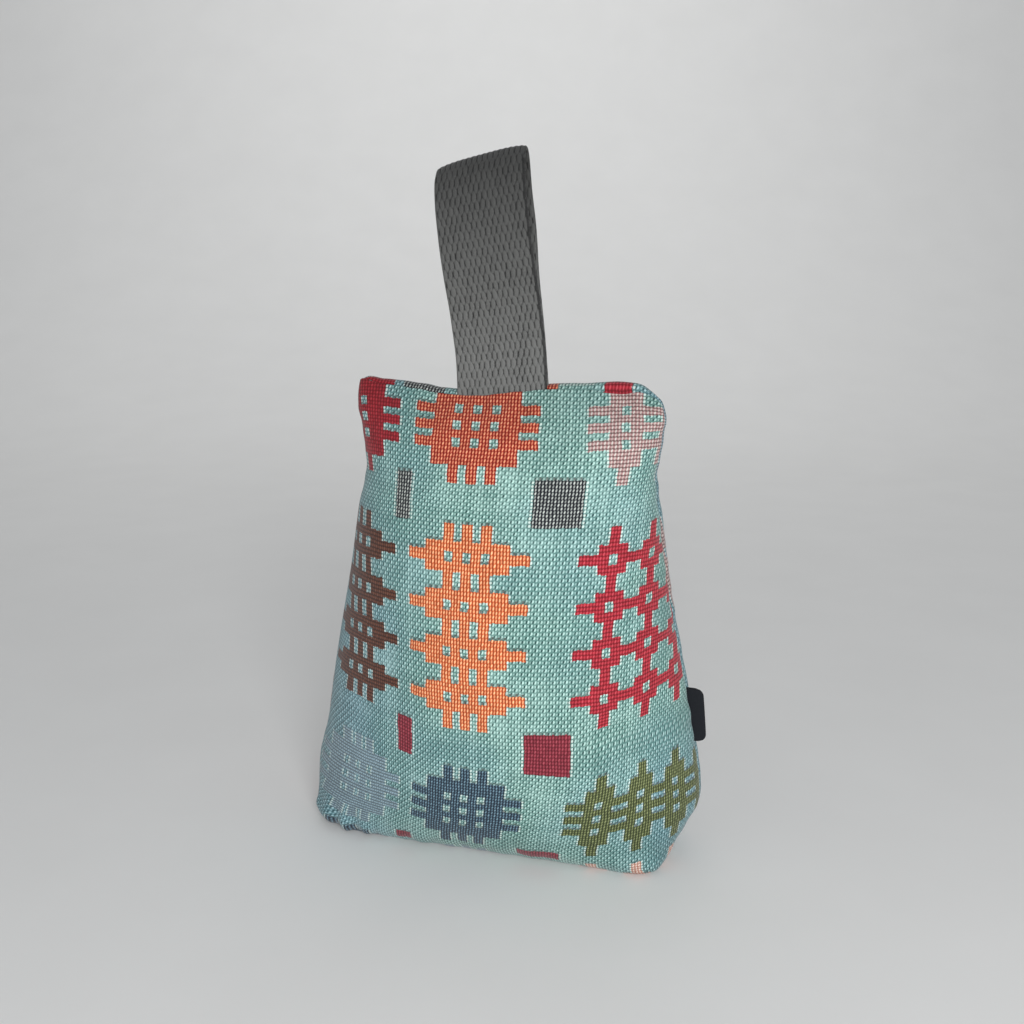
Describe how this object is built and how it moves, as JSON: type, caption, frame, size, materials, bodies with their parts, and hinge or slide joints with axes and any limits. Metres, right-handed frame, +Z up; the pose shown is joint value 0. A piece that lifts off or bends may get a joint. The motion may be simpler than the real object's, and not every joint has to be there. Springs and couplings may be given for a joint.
{
  "type": "fabric doorstop",
  "caption": "Filled fabric doorstop that tapers from a boxed base to a sewn top edge with a webbing loop handle and a blank side label.",
  "frame": {"origin": "on the flat base, close to its middle, about 7 mm behind the bag's top edge", "axes": "+Z up, -Y is the front, +X to the right seen from the front, where the label is"},
  "size_m": [0.177, 0.1, 0.2895],
  "materials": {
    "tapestry_cloth": "double-cloth tapestry weave in pale aqua over teal, with block motifs in reds, orange, navy, green, brown and lilac",
    "webbing": "heavy mid grey plain woven webbing",
    "label_tape": "charcoal woven label tape, blank"
  },
  "bodies": {
    "root": {"bag": "tapestry_cloth", "handle": "webbing", "label": "label_tape"}
  },
  "joints": []
}
